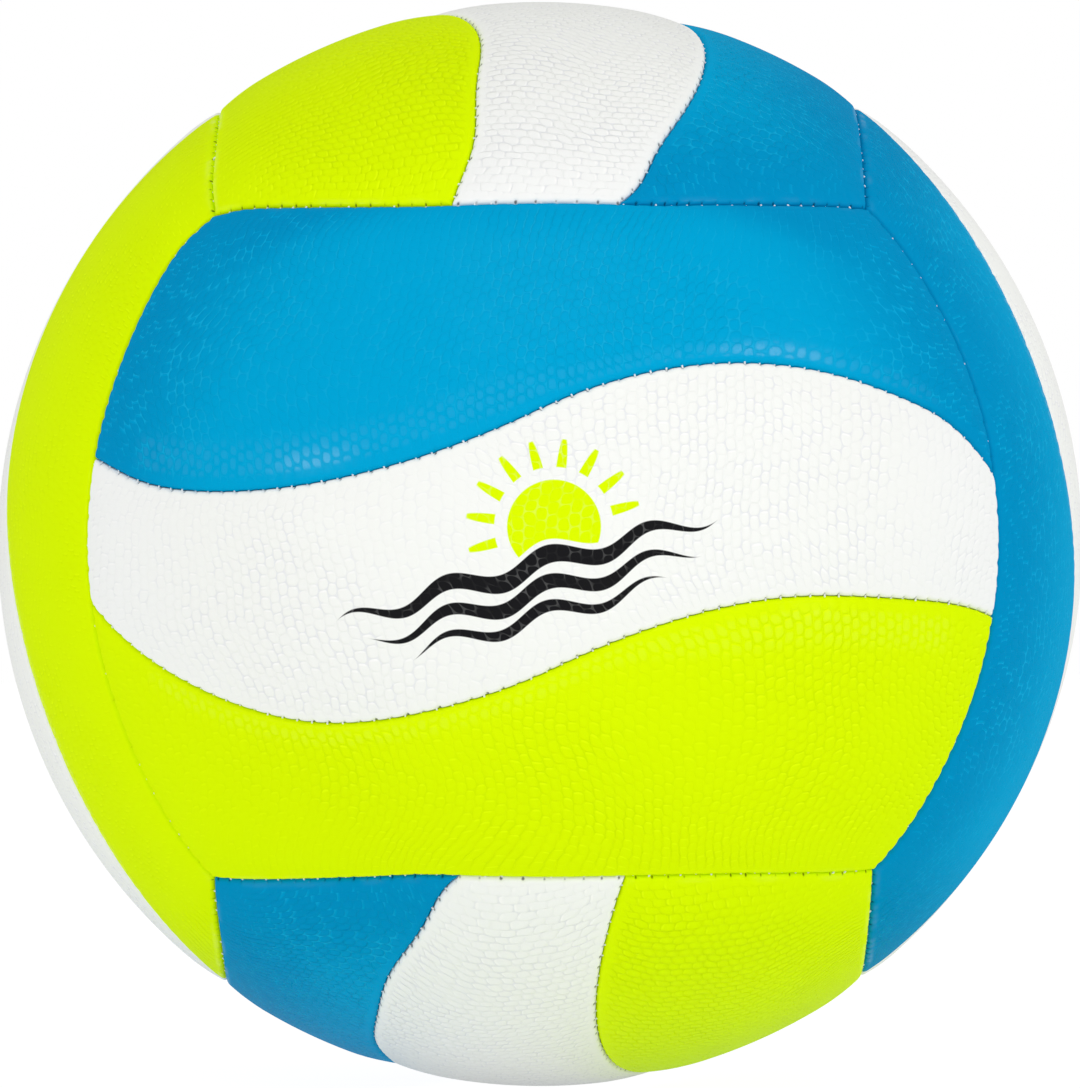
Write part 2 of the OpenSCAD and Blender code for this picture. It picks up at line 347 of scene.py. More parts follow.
class Wire:
    """An output socket. A sum on it adds the Math node, and node adds any other."""

    def __init__(self, tree, socket=None):
        self.tree, self.socket = tree, socket

    def node(self, kind, settings=(), sockets=(), out=0):
        made = self.tree.nodes.new(kind)
        for name, setting in dict(settings).items():
            setattr(made, name, setting)
        for name, value in dict(sockets).items():
            if isinstance(value, Wire):
                self.tree.links.new(value.socket, made.inputs[name])
            else:
                made.inputs[name].default_value = value
        return Wire(self.tree, made.outputs[out]) if len(made.outputs) else None

    def math(self, operation, *others):
        return self.node("ShaderNodeMath", {"operation": operation}, enumerate((self, *others)))

    def __add__(self, other):
        return self.math("ADD", other)

    def __sub__(self, other):
        return self.math("SUBTRACT", other)

    def __rsub__(self, other):
        return self.node("ShaderNodeMath", {"operation": "SUBTRACT"}, {0: other, 1: self})

    def __mul__(self, other):
        return self.math("MULTIPLY", other)

    def __truediv__(self, other):
        return self.math("DIVIDE", other)

    def __pow__(self, other):
        return self.math("POWER", other)

    def __abs__(self):
        return self.math("ABSOLUTE")

    __radd__, __rmul__ = __add__, __mul__

    def rise(self, low, high):
        """0 below low, 1 above high, smooth between them."""
        return self.node("ShaderNodeMapRange", {"interpolation_type": "SMOOTHSTEP"},
                         {0: self, 1: low, 2: high, 3: 0, 4: 1})

    def outputs(self):
        """All the outputs of the node that this one is on."""
        return [Wire(self.tree, output) for output in self.socket.node.outputs]

    def parts(self):
        return self.node("ShaderNodeSeparateXYZ", (), {0: self}).outputs()

    def mixed(self, first, second):
        """Colour first where this is 0 and second where it is 1."""
        return self.node("ShaderNodeMix", {"data_type": "RGBA"}, {0: self, 6: first, 7: second}, 2)

    def noise(self, scale, detail=0.0, out="Fac"):
        """Noise at the places that this gives, from 0 to 1."""
        return self.node("ShaderNodeTexNoise", (), {
            "Vector": self, "Scale": scale, "Detail": detail}, out)

    def bump(self, height, strength=1.0):
        """The normal of a surface that stands height mm higher where this is 1."""
        return self.node("ShaderNodeBump", (), {
            "Strength": strength, "Distance": height * MM, "Height": self})


def paint(red, green, blue):
    """A colour as it is seen, 0 to 255 each, for a colour socket."""
    shares = [c / 255 for c in (red, green, blue)]
    return (*[((c + 0.055) / 1.055) ** 2.4 if c > 0.04 else c / 12.92 for c in shares], 1)


def new_material(name):
    """A material without nodes, the start of its wires, and its places on the ball."""
    material = bpy.data.materials.new(name)
    material.use_nodes = True
    material.node_tree.nodes.clear()
    start = Wire(material.node_tree)
    return material, start, start.node("ShaderNodeTexCoord", out="Object")


def finish_material(start, sockets):
    surface = start.node("ShaderNodeBsdfPrincipled", (), sockets)
    start.node("ShaderNodeOutputMaterial", (), {"Surface": surface})


def sway(start, across, along, far, length):
    """A slow shift of the grain's columns or rows, slower still across the sheet."""
    at = start.node("ShaderNodeCombineXYZ", (), {0: across * SWAY_ACROSS, 1: along, 2: length})
    return (at.noise(1 / length, detail=1.0) - 0.5) * far


def snake_grain(start, place, sheet_u, sheet_v, u_seam, v_seam):
    """A point's place in its scale, from -1 to 1 both ways, how far out that is, and three
    chances that are the scale's own."""
    wobble_u, wobble_v, _ = place.noise(WOBBLES, out="Color").parts()
    u = sheet_u + sway(start, sheet_u, sheet_v, COLUMN_SWAY, COLUMN_SWAY_LENGTH)
    v = sheet_v + sway(start, sheet_v, sheet_u, ROW_SWAY, ROW_SWAY_LENGTH)
    across = (u + (wobble_u - 0.5) * WOBBLE) / SCALE_W
    column = across.math("FLOOR")
    stagger = start.node(
        "ShaderNodeTexWhiteNoise", {"noise_dimensions": "1D"}, {"W": column}, "Value")
    upward = (v + (wobble_v - 0.5) * WOBBLE) / SCALE_H
    upward = upward + column * STAGGER + stagger * STAGGER_SPREAD
    row = upward.math("FLOOR")
    cell = start.node("ShaderNodeCombineXYZ", (), {0: column, 1: row})
    chances = start.node(
        "ShaderNodeTexWhiteNoise", {"noise_dimensions": "2D"}, {"Vector": cell}, "Color").parts()
    x = (across - column) * 2 - 1
    y = (upward - row) * 2 - 1
    # Near a face's seam the skin is stretched, and the creases along the seam fade.
    x = x * (1 - STRETCH + u_seam.rise(*STRETCH_ENDS) * STRETCH)
    y = y * (1 - STRETCH + v_seam.rise(*STRETCH_ENDS) * STRETCH)
    out = (abs(x) ** ROUNDING + abs(y) ** ROUNDING) ** (1 / ROUNDING)
    return x, y, out, chances


def leather(name, flat, end, crease_shade_and_glint, rim_highlight_and_shade, painted_hole_colour, relief, gloss, far_side=0, far_from=0,
            printed=False):
    """The finish of a panel: its colour in the middle; its colour with painted shade at a face's
    ends, in the creases (a painted glint on the blue) and in the stitch holes, and with a painted
    highlight on the scales' upper rims (painted shade on the blue); the height of its grain, its
    gloss, and on which side of the front (1 or -1), if any, and from where its stretch reaches far
    in."""
    material, start, place = new_material(name)
    sheet_u, sheet_v, _ = start.node("ShaderNodeUVMap", {"uv_map": "sheet"}).parts()
    edge, u_seam, v_seam, hole = [
        start.node("ShaderNodeAttribute", {"attribute_name": label}, out="Fac")
        for label in ("edge", "u_seam", "v_seam", "hole")]
    face_edge = u_seam.math("MINIMUM", v_seam)
    _, back, up = place.parts()
    deep = abs(up).rise(*DEEP_FACES)

    x, y, out, chances = snake_grain(start, place, sheet_u, sheet_v, u_seam, v_seam)
    crease = out.rise(*CREASE)
    # Painted highlight on the upper rim of each scale, as if lit from above; on the blue it is
    # painted shade.
    painted_rim_light = y.rise(*PAINTED_RIM) * (1 - crease)
    patches = place.noise(PATCHES, detail=1.0).rise(*BETWEEN_PATCHES)
    patches = patches.math("MAXIMUM", deep * DEEP_PATCHES)
    strength = edge.rise(*GRAIN_COMES) * (FLAT_RELIEF + (1 - FLAT_RELIEF) * patches)
    gaps = GAP_LEAST + (1 - GAP_LEAST) * place.noise(GAPS).rise(*BETWEEN_GAPS)
    tilt = (x * (chances[0] - 0.5) + y * (chances[1] - 0.5)) * SCALE_TILT
    dome_h = DOME_H + tilt + DOME_H_SPREAD * chances[2]
    scale = (1 - out.rise(*DOME)) * dome_h - crease * CREASE_H
    pores = (place.noise(PORES, detail=2.0) - 0.5) * PORE_H
    ripple = (place.noise(RIPPLES, detail=2.0) - 0.5) * RIPPLE_H
    height = scale * strength * (1 + deep * DEEPER) * relief + pores + ripple

    # Painted shade: the colour darkens towards the ends of the face, standing in for light that is
    # brighter in the face's middle, but hardly towards the front's long sides.
    front = (back * -1).rise(*FRONT_FACE)
    shade = u_seam.math("MINIMUM", v_seam + front * FRONT_FURTHER)
    shade = shade.rise(*PAINTED_END_SHADE).mixed(end, flat)
    # Painted shade in the creases of the white and green, and a lighter painted glint along those
    # of the blue.
    shade = (crease * strength * gaps).mixed(shade, crease_shade_and_glint)
    # Painted highlight on the scales' upper rims, and painted shade there on the blue.
    shade = (painted_rim_light * strength * gaps).mixed(shade, rim_highlight_and_shade)
    if printed:
        dark, lime = sun_and_waves(sheet_u, sheet_v)
        worn = 1 - out.rise(*PRINT_CREASE) * strength * gaps * PRINT_WEAR
        shade = (lime * worn).mixed(shade, LIME_INK)
        shade = (dark * worn).mixed(shade, DARK_INK)
    # Painted shade in the stitch holes.
    shade = (hole.rise(*PAINTED_HOLE_SHADE) * PAINTED_HOLE_DARKNESS).mixed(shade, painted_hole_colour)

    # By an S-seam the skin is stretched most: there the scales' tops are flat and shine. The
    # stretch reaches further in on one half of the front. The deeper grain stays matt but for
    # the skin's rolled edges and the worn underside.
    far = (sheet_u * far_side).rise(far_from, far_from + FAR_REACH_RISE)
    far = far * (1 - sheet_u.rise(*FRONT_SHEET_END)) * abs(far_side)

    def further(limits, steps):
        return [limit + far * step for limit, step in zip(limits, steps)]

    band = edge.rise(*further(BAND_COMES, BAND_COMES_FURTHER)) * (1 - deep)
    band = band * (1 - edge.rise(*further(BAND_ENDS, BAND_ENDS_FURTHER)))
    band = band * face_edge.rise(*BAND_FROM_FACE_EDGE) * (1 - out.rise(*FLAT_TOP))
    roll = edge.rise(*ROLL_COMES) * (1 - edge.rise(*ROLL_ENDS)) * abs(up).rise(*ROLL_FACES)
    roll = roll * (1 - face_edge.rise(*ROLL_FROM_FACE_EDGE))
    roll = roll * place.noise(GLINTS, detail=1.0).rise(*BETWEEN_GLINTS)
    under = (up * -1).rise(*UNDERSIDE) * (1 - crease * UNDER_CREASE)
    finish_material(start, {
        "Base Color": shade, "Roughness": 0.6, "Normal": height.bump(1),
        "Specular IOR Level": 0.0, "Coat Roughness": COAT_ROUGHNESS,
        "Coat Weight": THIN_COAT + (band + roll * ROLL_GLOSS + under * UNDER_GLOSS) * gloss})
    return material


# Each cover's colours: its own in the middle, then painted shade towards a face's ends, painted
# shade in the creases (a lighter painted glint on the blue), a painted highlight on the scales'
# upper rims (painted shade on the blue), and painted shade in the stitch holes.
COVERS = {
    "white": {
        "flat": paint(238, 239, 235), "end": paint(238, 239, 237),
        "crease_shade_and_glint": paint(228, 229, 230), "rim_highlight_and_shade": paint(245, 245, 243),
        "painted_hole_colour": paint(64, 64, 70), "relief": 0.65, "gloss": 0.06},
    "blue": {
        "flat": paint(0, 158, 206), "end": paint(0, 139, 190),
        "crease_shade_and_glint": paint(16, 166, 212), "rim_highlight_and_shade": paint(0, 155, 204),
        "painted_hole_colour": paint(0, 56, 92), "relief": 1.0, "gloss": 0.22,
        "far_side": -1, "far_from": -15},
    "green": {
        "flat": paint(213, 241, 0), "end": paint(213, 242, 0),
        "crease_shade_and_glint": paint(207, 237, 0), "rim_highlight_and_shade": paint(222, 249, 10),
        "painted_hole_colour": paint(84, 98, 8), "relief": 0.8, "gloss": 0.26,
        "far_side": 1, "far_from": 10},
}
cover_materials = {strip: leather(f"{strip} leather", **cover) for strip, cover in COVERS.items()}

# Front print
# The front's white strip is screen printed in two inks: a lime sun with rays over three dark
# waves that taper to both ends. The print is a little worn in the grain's creases.
PRINT_TILT = math.radians(15)
PRINT_U, PRINT_V = -4.5, -2.5
SUN_X, SUN_Y, SUN_R = 7.0, 3.0, 8.5
RAYS, RAY_IN, RAY_OUT = 16, 10.8, 16.0
RAY_TAPER, RAY_BEAT, RAY_SIDE = 0.14, 0.1, 0.18
LOWEST_RAY = -2.0
# Each wave's height, half its length, half its width, and how far it is ahead of the first
PRINT_WAVES = ((-3.0, 36.0, 1.7, 0.0), (-7.8, 31.0, 1.4, 0.45), (-12.0, 24.0, 1.1, 0.9))
PRINT_WAVE_LENGTH, PRINT_WAVE_SWING = 19, 1.5
SHORE = 2.6
INK_EDGE = 0.1
LIME_INK, DARK_INK = paint(214, 242, 0), paint(26, 26, 28)
PRINT_CREASE, PRINT_WEAR = (0.88, 1.02), 0.14


def inked(depth):
    """1 where depth mm inside a print's outline is above 0, with a sharp edge."""
    return depth.rise(-INK_EDGE, INK_EDGE)


def sun_and_waves(sheet_u, sheet_v):
    """The dark ink's and the lime ink's masks."""
    across, up = sheet_u - PRINT_U, sheet_v - PRINT_V
    x = across * math.cos(PRINT_TILT) + up * math.sin(PRINT_TILT)
    y = up * math.cos(PRINT_TILT) - across * math.sin(PRINT_TILT)

    def swing(ahead):
        return (x * (2 * math.pi / PRINT_WAVE_LENGTH) + ahead).math("SINE") * PRINT_WAVE_SWING

    bands = []
    for height, half_length, half_width, ahead in PRINT_WAVES:
        width = (1 - (x / half_length) ** 2) * half_width
        bands.append(inked(width - abs(y - swing(ahead) - height)))
    dark = bands[0].math("MAXIMUM", bands[1]).math("MAXIMUM", bands[2])
    sun_x, sun_y = x - SUN_X, y - SUN_Y
    far = (sun_x * sun_x + sun_y * sun_y) ** 0.5
    beat = (sun_y.math("ARCTAN2", sun_x) * RAYS).math("COSINE")
    rays = (beat - RAY_BEAT - (far - RAY_IN) * RAY_TAPER).rise(0, RAY_SIDE)
    rays = rays * inked(far - RAY_IN) * inked(RAY_OUT - far) * inked(sun_y - LOWEST_RAY)
    above = inked(y - swing(0) - PRINT_WAVES[0][0] - SHORE)
    return dark, inked(SUN_R - far).math("MAXIMUM", rays) * above


printed_leather = leather("printed white leather", **COVERS["white"], printed=True)

# Panel skins
# Each panel is grained PVC leather about 1 mm thick, cut from the sheet and stretched by the
# air behind it. Its edges are turned in and sewn from the inside, so the skin rolls down
# into the seam, and each stitch pulls a small hole and a crease into both sides.
SKIN_T = 1.0
GROOVE_DEPTH = 1.6
CROWN_DROP = 0.7
CROWN_WIDTH = 10.0
HEM_DEPTH = 4.2
BACK_SHOULDER_R = 5.0
BACK_SHOULDER_AT = 4.85
BACK_SHOULDER_DEPTH = 5.87
# How sharply the rolled edges of two seams run into each other at a corner
ROLL_BLEND = 6
HOLE_DEPTH = 0.5
HOLE_WIDTH = 0.26
HOLE_INSET = 0.35
HOLE_ASIDE = 0.4
# The share of a hole's size on the side that the seam bows away from, and of a loose stitch's
FAR_HOLE = 0.4
LOOSE_HOLE = 0.5
CREASE_DEPTH = 0.2
CREASE_WIDTH = 0.55
CREASE_REACH = 2.4
# The beat over the ball, along this way, that tells tight stitches from loose ones
TIGHTNESS = (171.0, 253.0, 149.0)
# Corners of the coarse mesh along and across a panel. The loops round a panel are this far in
# from its edge, and those of its face this many times finer.
ALONG, ACROSS = 104, 36
TOP_LOOPS = (
    (0.0, 8), (0.03, 8), (0.1, 8), (0.22, 8), (0.38, 8), (0.58, 8), (0.82, 8), (1.12, 8),
    (1.5, 4), (2.0, 4), (2.6, 4), (3.4, 4), (4.6, 2), (6.2, 2), (8.2, 1))
BACK_LOOPS = (5.0, 4.2, 3.4, 2.7, 2.1, 1.6, 1.25, 1.0)
# The valve's hole, half the block of the grid that it takes up, the shares of the way out of
# its rings, and the dips of the skin towards it: how deep and over what length
VALVE_HOLE_D = 9.1
VALVE_BLOCK = 5
VALVE_RINGS = (0.75, 0.5, 0.3, 0.15, 0.05, 0.0)
VALVE_DIPS = ((0.35, 1.6), (0.25, 0.35))
SHARP = math.radians(60)
# The panels are cut from different places of the sheet, those of two faces across it.
SHEET_STEP_U, SHEET_STEP_V = 400, 260
CUT_ACROSS = ("left", "right")
# The distance where a panel has no such seam
NO_SEAM = 99.0


def stitch_pull(edge, p, place):
    """How much of a stitch's hole and crease is at p, from 0 to 1 each, place being the
    panel's turn on the ball. Both sides of a seam get the same stitches."""
    hole, crease = np.zeros(len(p)), np.zeros(len(p))
    which = edge.arc_of(p)
    for i, arc in enumerate(edge.arcs):
        mine = which == i
        at = arc.length(arc.azimuth(p[mine])) / STITCH_PITCH
        number = np.floor(at)
        off = (at - number - 0.5) * STITCH_PITCH
        step = STITCH_PITCH / arc.length(1.0)
        stitch = arc.point((number + 0.5) * step) @ place.T
        pull = 0.5 + 0.5 * np.sin(stitch @ np.array(TIGHTNESS))
        depth = np.clip(arc.distance(p[mine]), 0, None)
        aside, inward = (off - HOLE_ASIDE) / HOLE_WIDTH, (depth - HOLE_INSET) / HOLE_WIDTH
        size = LOOSE_HOLE + (1 - LOOSE_HOLE) * pull
        size = size * (1 if arc.inside * arc.bow > 0 else FAR_HOLE)
        hole[mine] = size * np.exp(-(aside**2) - inward**2)
        crease[mine] = pull * np.exp(-((off / CREASE_WIDTH) ** 2) - depth / CREASE_REACH)
    return hole, crease


def top_radius(panel, p, place):
    """Distance of the skin's face from the ball's centre, and the share of stitch hole."""
    roll = GROOVE_DEPTH - CROWN_DROP
    sinks, pulls, holes = 0, 0, 0
    for edge in panel.edges:
        d = np.clip(edge.distance(p) - SEAM_GAP / 2, 0, None)
        near = np.clip(1 - d / roll, 0, 1)
        sink = CROWN_DROP * np.clip(1 - d / CROWN_WIDTH, 0, 1) ** 2
        sink = sink + roll * (1 - np.sqrt(1 - near**2))
        hole, crease = stitch_pull(edge, p, place)
        sinks = sinks + sink**ROLL_BLEND
        pulls = pulls + HOLE_DEPTH * hole + CREASE_DEPTH * crease
        holes = np.maximum(holes, hole)
    return ball_r - sinks ** (1 / ROLL_BLEND) - pulls, holes


def back_radius(panel, p):
    """The skin's inner face, which lies on the foam and follows its shoulders."""
    radius = np.full(len(p), ball_r - SKIN_T)
    for edge in panel.edges:
        off = np.clip(BACK_SHOULDER_AT - edge.distance(p), 0, BACK_SHOULDER_R)
        shoulder = ball_r - BACK_SHOULDER_DEPTH + np.sqrt(BACK_SHOULDER_R**2 - off**2)
        radius = np.where(off > 0, np.minimum(radius, shoulder), radius)
    return radius


def outline(finer):
    """Shares along and across of the points round a panel, from its lower left corner."""
    u = np.arange(ALONG * finer) / (ALONG * finer)
    v = np.arange(ACROSS * finer) / (ACROSS * finer)
    return (np.concatenate((u, np.ones_like(v), 1 - u, np.zeros_like(v))),
            np.concatenate((np.zeros_like(u), v, np.ones_like(u), 1 - v)))


def bridge(faces, a, b):
    """Faces from loop a to loop b, where one has a whole number of times the other's."""
    count = min(len(a), len(b))
    of_a, of_b = len(a) // count, len(b) // count
    for i in range(count):
        lower = [a[(of_a * i + j) % len(a)] for j in range(of_a + 1)]
        upper = [b[(of_b * i + j) % len(b)] for j in range(of_b, -1, -1)]
        faces.append(lower + upper)


def block_outline(grid, low_i, high_i, low_j, high_j):
    return [*grid[low_i:high_i, low_j], *grid[high_i, low_j:high_j],
            *grid[high_i:low_i:-1, high_j], *grid[low_i, high_j:low_j:-1]]


class Skin:
    """Vertices and faces of one panel's skin while it is built."""

    def __init__(self, panel, place, sheet_at, sheet_turn):
        self.panel, self.place = panel, place
        self.sheet_at, self.sheet_turn = sheet_at, sheet_turn
        self.directions, self.radii, self.holes, self.faces = [], [], [], []
        self.count = 0

    def add(self, directions, radii, holes=None):
        self.directions.append(directions)
        self.radii.append(np.broadcast_to(radii, len(directions)))
        self.holes.append(np.zeros(len(directions)) if holes is None else holes)
        self.count += len(directions)
        return np.arange(self.count - len(directions), self.count)

    def add_top(self, directions):
        return self.add(directions, *top_radius(self.panel, directions, self.place))

    def add_back(self, directions):
        return self.add(directions, back_radius(self.panel, directions))

    def fill(self, loop, depth, add, valve, upward):
        """Closes a loop with a grid. Returns the loop round the valve's hole, if any."""
        i, j = np.meshgrid(np.arange(1, ALONG), np.arange(1, ACROSS), indexing="ij")
        inner = add(self.panel.inset(depth, (i / ALONG).ravel(), (j / ACROSS).ravel()))
        grid = np.zeros((ALONG + 1, ACROSS + 1), int)
        grid[1:-1, 1:-1] = inner.reshape(ALONG - 1, ACROSS - 1)
        u, v = outline(1)
        grid[np.rint(u * ALONG).astype(int), np.rint(v * ACROSS).astype(int)] = loop
        low_i, high_i = ALONG // 2 - VALVE_BLOCK, ALONG // 2 + VALVE_BLOCK
        low_j, high_j = ACROSS // 2 - VALVE_BLOCK, ACROSS // 2 + VALVE_BLOCK
        for i in range(ALONG):
            for j in range(ACROSS):
                if valve and low_i <= i < high_i and low_j <= j < high_j:
                    continue
                face = [grid[i, j], grid[i + 1, j], grid[i + 1, j + 1], grid[i, j + 1]]
                self.faces.append(face if upward else face[::-1])
        if not valve:
            return None
        ring = block_outline(grid, low_i, high_i, low_j, high_j)
        outer = np.concatenate(self.directions)[ring]
        around = np.arctan2(outer[:, 1], outer[:, 0])
        reach = np.arccos(outer[:, 2]) * ball_r
        for share in VALVE_RINGS:
            lean = (VALVE_HOLE_D / 2 + (reach - VALVE_HOLE_D / 2) * share) / ball_r
            next_ring = add(np.stack(
                (np.sin(lean) * np.cos(around), np.sin(lean) * np.sin(around), np.cos(lean)), -1))
            bridge(self.faces, *((ring, next_ring) if upward else (next_ring, ring)))
            ring = next_ring
        return ring

    def shape(self, valve):
        """Directions, radii and shares of hole of the skin's points, and its faces."""
        inset = self.panel.inset
        # From the middle of the inner face, out and down to the hem, and up the seam's wall
        first = self.add_back(inset(BACK_LOOPS[0], *outline(1)))
        back_ring = self.fill(first, BACK_LOOPS[0], self.add_back, valve, False)
        loops = [self.add_back(inset(depth, *outline(1))) for depth in BACK_LOOPS[1:]]
        loops += [self.add(inset(depth, *outline(1)), ball_r - HEM_DEPTH)
                  for depth in (BACK_LOOPS[-1], 0.0)]
        # Over the rolled edge to the middle of the outer face
        loops += [self.add_top(inset(depth, *outline(finer))) for depth, finer in TOP_LOOPS]
        for loop, next_loop in zip([first, *loops], loops):
            bridge(self.faces, loop, next_loop)
        top_ring = self.fill(loops[-1], TOP_LOOPS[-1][0], self.add_top, valve, True)
        if valve:
            bridge(self.faces, top_ring, back_ring)

        # The grid's points in the valve's hole belong to no face and are left out.
        used, corners = np.unique(np.concatenate(self.faces), return_inverse=True)
        ends = np.cumsum([len(face) for face in self.faces])[:-1]
        directions, radii, holes = [
            np.concatenate(parts)[used] for parts in (self.directions, self.radii, self.holes)]
        if valve:
            off = np.arccos(np.clip(directions[:, 2], -1, 1)) * ball_r - VALVE_HOLE_D / 2
            dip = sum(depth * np.exp(-off / length) for depth, length in VALVE_DIPS)
            radii = radii - (radii > ball_r - SKIN_T / 2) * dip
        return directions, radii, holes, np.split(corners, ends)

    def build(self, name, valve):
        directions, radii, holes, faces = self.shape(valve)
        mesh = bpy.data.meshes.new(name)
        mesh.from_pydata(pulled(directions @ self.place.T) * radii[:, None] * MM, [],
                         [list(face) for face in faces])
        off = [e.distance(directions) for e in self.panel.edges]
        end = np.minimum(off[1], off[3])
        both_waves = self.panel.edges[2].plane is not None
        side = np.full(len(end), NO_SEAM) if both_waves else off[2]
        # Which of a face's seams is across the sheet depends on how the panel is cut from it.
        seams = (end, side) if round(abs(self.sheet_turn[0, 0])) == 1 else (side, end)
        for label, values in (("edge", np.min(off, axis=0)), ("u_seam", seams[0]),
                              ("v_seam", seams[1]), ("hole", holes)):
            mesh.attributes.new(label, "FLOAT", "POINT").data.foreach_set("value", values)
        sheet = (np.arctan2(directions[:, 0], directions[:, 2]), np.arcsin(directions[:, 1]))
        sheet = np.stack(sheet, -1) @ self.sheet_turn * ball_r + self.sheet_at
        corners = np.concatenate(faces)
        mesh.uv_layers.new(name="sheet").data.foreach_set("uv", sheet[corners].ravel())
        mesh.shade_smooth()
        mesh.set_sharp_from_angle(angle=SHARP)
        return new_piece(name, mesh)


def new_piece(name, mesh):
    piece = bpy.data.objects.new(name, mesh)
    bpy.context.scene.collection.objects.link(piece)
    return piece


for i, face in enumerate(FACES):
    for j, (strip, (panel, strip_turn)) in enumerate(PANELS.items()):
        sheet_turn = strip_turn[:2, :2]
        if face in CUT_ACROSS:
            sheet_turn = turn("Z", 90)[:2, :2] @ sheet_turn
        skin = Skin(panel, face_turn(face) @ strip_turn, (i * SHEET_STEP_U, j * SHEET_STEP_V),
                    sheet_turn)
        piece = skin.build(f"{face}_{strip}_panel", valve=(face, strip) == ("back", "white"))
        printed = (face, strip) == ("front", "white")
        piece.data.materials.append(printed_leather if printed else cover_materials[strip])
        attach(piece, "root")
        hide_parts(f"skin_{face}_{strip}")

# Seam stitches
# The panels are sewn inside out with bonded polyester thread and the ball is turned before
# the last seam, so all that shows is one short rung of thread across the groove every
# 3.1 mm, bedded between the rolled edges.
THREAD_D = 0.38
RUNG_W = 0.95
RUNG_DEPTH = 1.25
SEAM_STOP = 2.0
LINE_POINTS = 60
# Heights of a rung's ends and middle over its bed, how much higher or deeper some rungs are
# bedded, all in thread diameters, and by how much of a radian they lie askew
RUNG_ENDS, RUNG_MIDDLE = -1.1, 0.9
BEDDED, BEDDED_SEED = (-0.85, 0.25), 2
ASKEW, ASKEW_SEED = (-0.35, 0.35), 4
RUNG_POINTS, THREAD_SIDES = 6, 8
FUZZ, PLIES, PLY_H = 2400.0, 900.0, 0.05


def seam_line(arcs_and_ends, place):
    """Points along one seam, from half a pitch past a whole number of stitches to the like."""
    points = []
    for arc, reach, backwards in arcs_and_ends:
        count = math.floor((abs(arc.length(reach)) - SEAM_STOP) / STITCH_PITCH - 0.5) + 0.5
        end = math.copysign(count * STITCH_PITCH / arc.length(1.0), reach)
        line = pulled(arc.point(np.linspace(0, end, LINE_POINTS)) @ place.T)
        line = line * (ball_r - RUNG_DEPTH) * MM
        points.extend(line[:0:-1] if backwards else line)
    return points


def stitch_tree():
    tree = bpy.data.node_groups.new("rungs along a seam", "GeometryNodeTree")
    for name, kind in (("Seams", "Geometry"), ("Pitch", "Float"), ("Thread diameter", "Float"),
                       ("Rung width", "Float"), ("Thread", "Material")):
        tree.interface.new_socket(name, in_out="INPUT", socket_type=f"NodeSocket{kind}")
    tree.interface.new_socket("Stitches", in_out="OUTPUT", socket_type="NodeSocketGeometry")
    start = Wire(tree)
    seams, pitch, diameter, width, thread, _ = start.node("NodeGroupInput").outputs()
    seams = start.node("GeometryNodeMeshToCurve", (), {0: seams})
    count = (start.node("GeometryNodeSplineLength") / pitch).math("ROUND") + 1
    seams = start.node("GeometryNodeResampleCurve", (), {"Curve": seams, "Count": count})

    half, ends = width / 2, diameter * RUNG_ENDS
    rung = start.node("GeometryNodeCurveQuadraticBezier", (), {
        "Resolution": RUNG_POINTS,
        "Start": start.node("ShaderNodeCombineXYZ", (), {0: half * -1, 2: ends}),
        "Middle": start.node("ShaderNodeCombineXYZ", (), {2: diameter * RUNG_MIDDLE}),
        "End": start.node("ShaderNodeCombineXYZ", (), {0: half, 2: ends})})
    section = start.node("GeometryNodeCurvePrimitiveCircle", (), {
        "Resolution": THREAD_SIDES, "Radius": diameter / 2})
    rung = start.node("GeometryNodeCurveToMesh", (), {
        0: rung, "Profile Curve": section, "Fill Caps": True})

    def chance(limits, seed):
        return start.node("FunctionNodeRandomValue", {"data_type": "FLOAT"}, {
            2: limits[0], 3: limits[1], "Seed": seed}, 1)

    place = start.node("GeometryNodeInputPosition")
    outward = start.node("ShaderNodeVectorMath", {"operation": "NORMALIZE"}, {0: place})
    # Some stitches are pulled deeper into the seam than others.
    bedded = start.node("ShaderNodeVectorMath", {"operation": "SCALE"}, {
        0: outward, "Scale": chance(BEDDED, BEDDED_SEED) * diameter})
    seams = start.node("GeometryNodeSetPosition", (), {0: seams, "Offset": bedded})
    onward = start.node("GeometryNodeInputTangent")
    facing = start.node("FunctionNodeAxesToRotation", {
        "primary_axis": "Z", "secondary_axis": "Y"}, {0: outward, 1: onward})
    askew = start.node("ShaderNodeCombineXYZ", (), {2: chance(ASKEW, ASKEW_SEED)})
    facing = start.node("FunctionNodeRotateRotation", {"rotation_space": "LOCAL"}, {
        0: facing, 1: start.node("FunctionNodeEulerToRotation", (), {0: askew})})
    rungs = start.node("GeometryNodeInstanceOnPoints", (), {
        "Points": seams, "Instance": rung, "Rotation": facing})
    rungs = start.node("GeometryNodeRealizeInstances", (), {0: rungs})
    rungs = start.node("GeometryNodeSetShadeSmooth", (), {0: rungs})
    rungs = start.node("GeometryNodeSetMaterial", (), {0: rungs, "Material": thread})
    start.node("NodeGroupOutput", (), {0: rungs})
    return tree


def thread_finish():
    """White bonded thread, twisted from three plies, mottled at random and greyed a little as
    painted shade for the groove it lies in.
    """
    material, start, place = new_material("sewing thread")
    fuzz = place.noise(FUZZ, detail=2.0)
    plies = start.node("ShaderNodeTexWave", {"wave_type": "BANDS", "bands_direction": "DIAGONAL"},
                       {"Vector": place, "Scale": PLIES, "Distortion": 1.0}, "Fac")
    finish_material(start, {
        "Base Color": fuzz.mixed(paint(214, 219, 222), paint(243, 246, 247)),
        "Roughness": 0.7 + fuzz * 0.1, "Normal": (plies + fuzz * 0.5).bump(PLY_H, strength=0.8)})
    return material


rungs_tree = stitch_tree()
sewing_thread = thread_finish()


